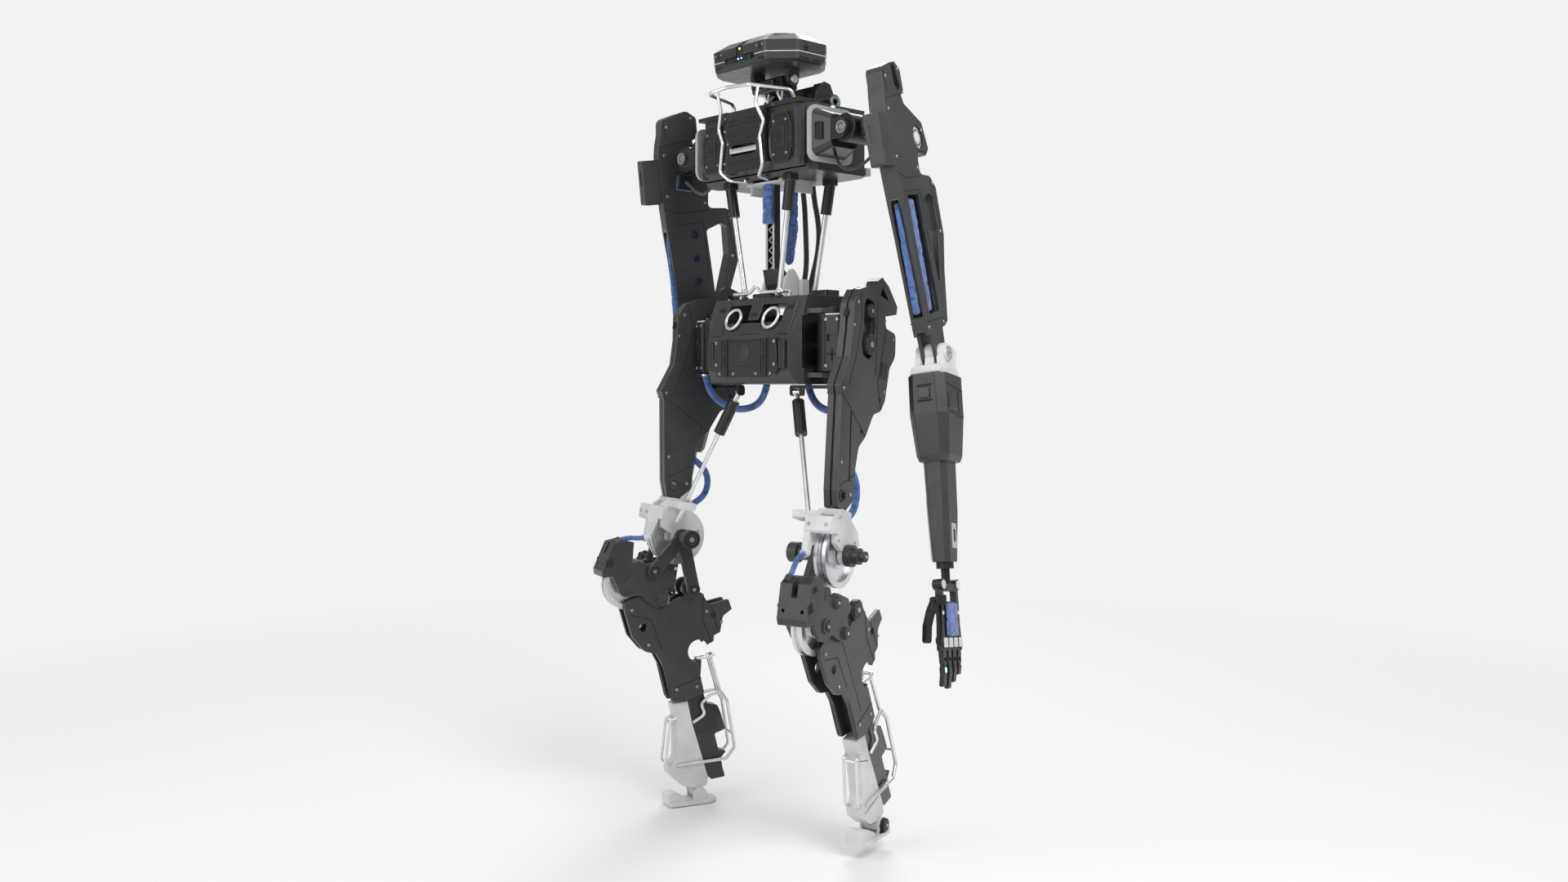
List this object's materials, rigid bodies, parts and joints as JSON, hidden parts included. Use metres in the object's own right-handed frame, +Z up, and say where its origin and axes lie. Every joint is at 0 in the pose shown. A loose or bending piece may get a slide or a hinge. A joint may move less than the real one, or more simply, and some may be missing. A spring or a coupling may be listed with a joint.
{
  "type": "humanoid robot kit",
  "caption": "Full-size humanoid robot kit with articulated waist, neck, arms, hands and legs, open wire guards, cable-driven pulleys and stub feet, held by a rear stand flange.",
  "frame": {"origin": "centre of the stand flange on the back face of the pelvis", "axes": "+Z up, robot faces -Y, its left side is +X, +Y is the outward normal of the stand flange"},
  "size_m": [0.9134, 0.415, 1.5809],
  "materials": {
    "dark_shell": "satin charcoal moulding with crisp edges",
    "dark_panel": "semi-gloss charcoal cover",
    "dark_metal": "black anodised",
    "pale_plastic": "off-white printed plastic",
    "silver": "satin silver",
    "blue_fabric": "padded blue fabric",
    "blue_hose": "blue sleeved hose",
    "black_cable": "black sleeved cable"
  },
  "bodies": {
    "pelvis": {"pelvis_housing": "dark_shell", "pelvis_panels": "dark_panel", "pelvis_handles": "silver", "waist_base": "pale_plastic", "hip_hoses": "blue_hose"},
    "chest": {"chest_housing": "dark_shell", "chest_panels": "dark_panel", "shoulder_boots": "dark_panel", "chest_guard": "silver", "waist_frame": "dark_metal", "waist_sleeves": "blue_fabric", "waist_bracket": "pale_plastic", "torso_hoses": "black_cable"},
    "waist_rods_front": {"waist_rods_front": "silver"},
    "waist_rods_rear": {"waist_rods_rear": "silver"},
    "neck": {"neck_module": "dark_metal"},
    "head": {"head_shell": "dark_shell", "head_sensor": "dark_metal"},
    "hip_left": {"hip_block_left": "dark_metal", "strut_yoke_left": "dark_metal"},
    "strut_left": {"hip_strut_left": "silver"},
    "thigh_left": {"thigh_frame_left": "dark_shell", "knee_bracket_left": "pale_plastic", "leg_hoses_left": "blue_hose"},
    "shank_left": {"leg_pulleys_left": "silver", "shank_frame_left": "dark_metal", "front_block_left": "dark_shell", "shank_stub_left": "pale_plastic", "shank_loops_left": "silver"},
    "foot_left": {"ankle_foot_left": "dark_metal"},
    "shoulder_left": {"shoulder_hub_left": "dark_metal"},
    "upper_arm_left": {"arm_frame_left": "dark_shell", "arm_muscle_left": "blue_fabric"},
    "forearm_left": {"elbow_joint_left": "pale_plastic", "forearm_shell_left": "dark_shell"},
    "palm_left": {"palm_left": "dark_metal"},
    "finger_bases_left": {"finger_bases_left": "dark_metal"},
    "finger_tips_left": {"finger_tips_left": "dark_metal"},
    "thumb_left": {"thumb_left": "dark_metal"},
    "hip_right": {"hip_block_right": "dark_metal", "strut_yoke_right": "dark_metal"},
    "strut_right": {"hip_strut_right": "silver"},
    "thigh_right": {"thigh_frame_right": "dark_shell", "knee_bracket_right": "pale_plastic", "leg_hoses_right": "blue_hose"},
    "shank_right": {"leg_pulleys_right": "silver", "shank_frame_right": "dark_metal", "front_block_right": "dark_shell", "shank_stub_right": "pale_plastic", "shank_loops_right": "silver"},
    "foot_right": {"ankle_foot_right": "dark_metal"},
    "shoulder_right": {"shoulder_hub_right": "dark_metal"},
    "upper_arm_right": {"arm_frame_right": "dark_shell", "arm_muscle_right": "blue_fabric"},
    "forearm_right": {"elbow_joint_right": "pale_plastic", "forearm_shell_right": "dark_shell"},
    "palm_right": {"palm_right": "dark_metal"},
    "finger_bases_right": {"finger_bases_right": "dark_metal"},
    "finger_tips_right": {"finger_tips_right": "dark_metal"},
    "thumb_right": {"thumb_right": "dark_metal"}
  },
  "joints": [
    {"name": "waist_pitch", "type": "hinge", "parent": "pelvis", "child": "chest", "pos_m": [0, -0.096, 0.122], "axis": [1, 0, 0], "range_deg": [-10, 10], "deforming": ["torso_hoses"]},
    {"name": "waist_rods_front_slide", "type": "slide", "parent": "chest", "child": "waist_rods_front", "axis": [0, -0.0278, 0.9996], "range_m": [-0.009, 0.009]},
    {"name": "waist_rods_rear_slide", "type": "slide", "parent": "chest", "child": "waist_rods_rear", "axis": [0, 0.0278, 0.9996], "range_m": [-0.009, 0.009]},
    {"name": "neck_yaw", "type": "hinge", "parent": "chest", "child": "neck", "pos_m": [0, -0.11, 0.48], "axis": [0, 0, 1], "range_deg": [-35, 35]},
    {"name": "head_pitch", "type": "hinge", "parent": "neck", "child": "head", "pos_m": [0, -0.11, 0.531], "axis": [1, 0, 0], "range_deg": [-8, 15]},
    {"name": "hip_yaw_left", "type": "hinge", "parent": "pelvis", "child": "hip_left", "pos_m": [0.172, -0.116, 0], "axis": [0, 0, 1], "range_deg": [-15, 15], "deforming": ["hip_hoses"]},
    {"name": "hip_pitch_left", "type": "hinge", "parent": "hip_left", "child": "thigh_left", "pos_m": [0.23512, -0.0967, 0], "axis": [-0.9563, -0.2924, 0], "range_deg": [-20, 25]},
    {"name": "strut_swing_left", "type": "hinge", "parent": "hip_left", "child": "strut_left", "pos_m": [0.08801, -0.12997, -0.09], "axis": [-0.9563, -0.2924, 0], "range_deg": [-27, 34]},
    {"name": "knee_left", "type": "hinge", "parent": "thigh_left", "child": "shank_left", "pos_m": [0.26751, -0.20267, -0.38643], "axis": [0.9563, 0.2924, 0], "range_deg": [-30, 60], "deforming": ["leg_hoses_left"]},
    {"name": "ankle_left", "type": "hinge", "parent": "shank_left", "child": "foot_left", "pos_m": [0.22303, -0.05716, -0.91704], "axis": [0.9563, 0.2924, 0], "range_deg": [-10, 10]},
    {"name": "shoulder_roll_left", "type": "hinge", "parent": "chest", "child": "shoulder_left", "pos_m": [0.24, -0.121, 0.404], "axis": [0, -1, 0], "range_deg": [-5, 60]},
    {"name": "shoulder_pitch_left", "type": "hinge", "parent": "shoulder_left", "child": "upper_arm_left", "pos_m": [0.31395, -0.0982, 0.41374], "axis": [-0.9481, -0.2924, -0.1248], "range_deg": [-20, 80]},
    {"name": "elbow_left", "type": "hinge", "parent": "upper_arm_left", "child": "forearm_left", "pos_m": [0.34821, -0.02546, -0.01682], "axis": [-0.9481, -0.2924, -0.1248], "range_deg": [-14, 62]},
    {"name": "wrist_left", "type": "hinge", "parent": "forearm_left", "child": "palm_left", "pos_m": [0.41465, -0.06694, -0.42436], "axis": [-0.1601, 0.1, 0.982], "range_deg": [-40, 40]},
    {"name": "finger_curl_left", "type": "hinge", "parent": "palm_left", "child": "finger_bases_left", "pos_m": [0.43499, -0.07964, -0.54908], "axis": [-0.2746, 0.9511, -0.1416], "range_deg": [-4, 60]},
    {"name": "fingertip_curl_left", "type": "hinge", "parent": "finger_bases_left", "child": "finger_tips_left", "pos_m": [0.43883, -0.08204, -0.57265], "axis": [-0.2746, 0.9511, -0.1416], "range_deg": [-4, 60]},
    {"name": "thumb_swing_left", "type": "hinge", "parent": "palm_left", "child": "thumb_left", "pos_m": [0.43511, -0.1187, -0.45853], "axis": [0.9754, -0.137, 0.173], "range_deg": [-10, 14]},
    {"name": "hip_yaw_right", "type": "hinge", "parent": "pelvis", "child": "hip_right", "pos_m": [-0.172, -0.116, 0], "axis": [0, 0, -1], "range_deg": [-15, 15], "deforming": ["hip_hoses"]},
    {"name": "hip_pitch_right", "type": "hinge", "parent": "hip_right", "child": "thigh_right", "pos_m": [-0.23512, -0.0967, 0], "axis": [-0.9563, 0.2924, 0], "range_deg": [-20, 25]},
    {"name": "strut_swing_right", "type": "hinge", "parent": "hip_right", "child": "strut_right", "pos_m": [-0.08801, -0.12997, -0.09], "axis": [-0.9563, 0.2924, 0], "range_deg": [-27, 34]},
    {"name": "knee_right", "type": "hinge", "parent": "thigh_right", "child": "shank_right", "pos_m": [-0.25553, -0.16346, -0.39589], "axis": [0.9563, -0.2924, 0], "range_deg": [-13, 77], "deforming": ["leg_hoses_right"]},
    {"name": "ankle_right", "type": "hinge", "parent": "shank_right", "child": "foot_right", "pos_m": [-0.24146, -0.11745, -0.94579], "axis": [0.9563, -0.2924, 0], "range_deg": [-10, 10]},
    {"name": "shoulder_roll_right", "type": "hinge", "parent": "chest", "child": "shoulder_right", "pos_m": [-0.24, -0.121, 0.404], "axis": [0, 1, 0], "range_deg": [-5, 60]},
    {"name": "shoulder_pitch_right", "type": "hinge", "parent": "shoulder_right", "child": "upper_arm_right", "pos_m": [-0.31395, -0.0982, 0.41374], "axis": [-0.9481, 0.2924, 0.1248], "range_deg": [-20, 80]},
    {"name": "elbow_right", "type": "hinge", "parent": "upper_arm_right", "child": "forearm_right", "pos_m": [-0.34821, -0.02546, -0.01682], "axis": [-0.9481, 0.2924, 0.1248], "range_deg": [-14, 62]},
    {"name": "wrist_right", "type": "hinge", "parent": "forearm_right", "child": "palm_right", "pos_m": [-0.41465, -0.06694, -0.42436], "axis": [0.1601, 0.1, 0.982], "range_deg": [-40, 40]},
    {"name": "finger_curl_right", "type": "hinge", "parent": "palm_right", "child": "finger_bases_right", "pos_m": [-0.43499, -0.07964, -0.54908], "axis": [-0.2746, -0.9511, 0.1416], "range_deg": [-4, 60]},
    {"name": "fingertip_curl_right", "type": "hinge", "parent": "finger_bases_right", "child": "finger_tips_right", "pos_m": [-0.43883, -0.08204, -0.57265], "axis": [-0.2746, -0.9511, 0.1416], "range_deg": [-4, 60]},
    {"name": "thumb_swing_right", "type": "hinge", "parent": "palm_right", "child": "thumb_right", "pos_m": [-0.43511, -0.1187, -0.45853], "axis": [0.9754, 0.137, -0.173], "range_deg": [-10, 14]}
  ],
  "couplings": [
    {"joint": "waist_rods_front_slide", "follows": "waist_pitch", "m_per_rad": 0.048},
    {"joint": "waist_rods_rear_slide", "follows": "waist_pitch", "m_per_rad": -0.048},
    {"joint": "strut_swing_left", "follows": "hip_pitch_left", "ratio": 1.2653},
    {"joint": "fingertip_curl_left", "follows": "finger_curl_left", "ratio": 1},
    {"joint": "strut_swing_right", "follows": "hip_pitch_right", "ratio": 1.2961},
    {"joint": "fingertip_curl_right", "follows": "finger_curl_right", "ratio": 1}
  ]
}
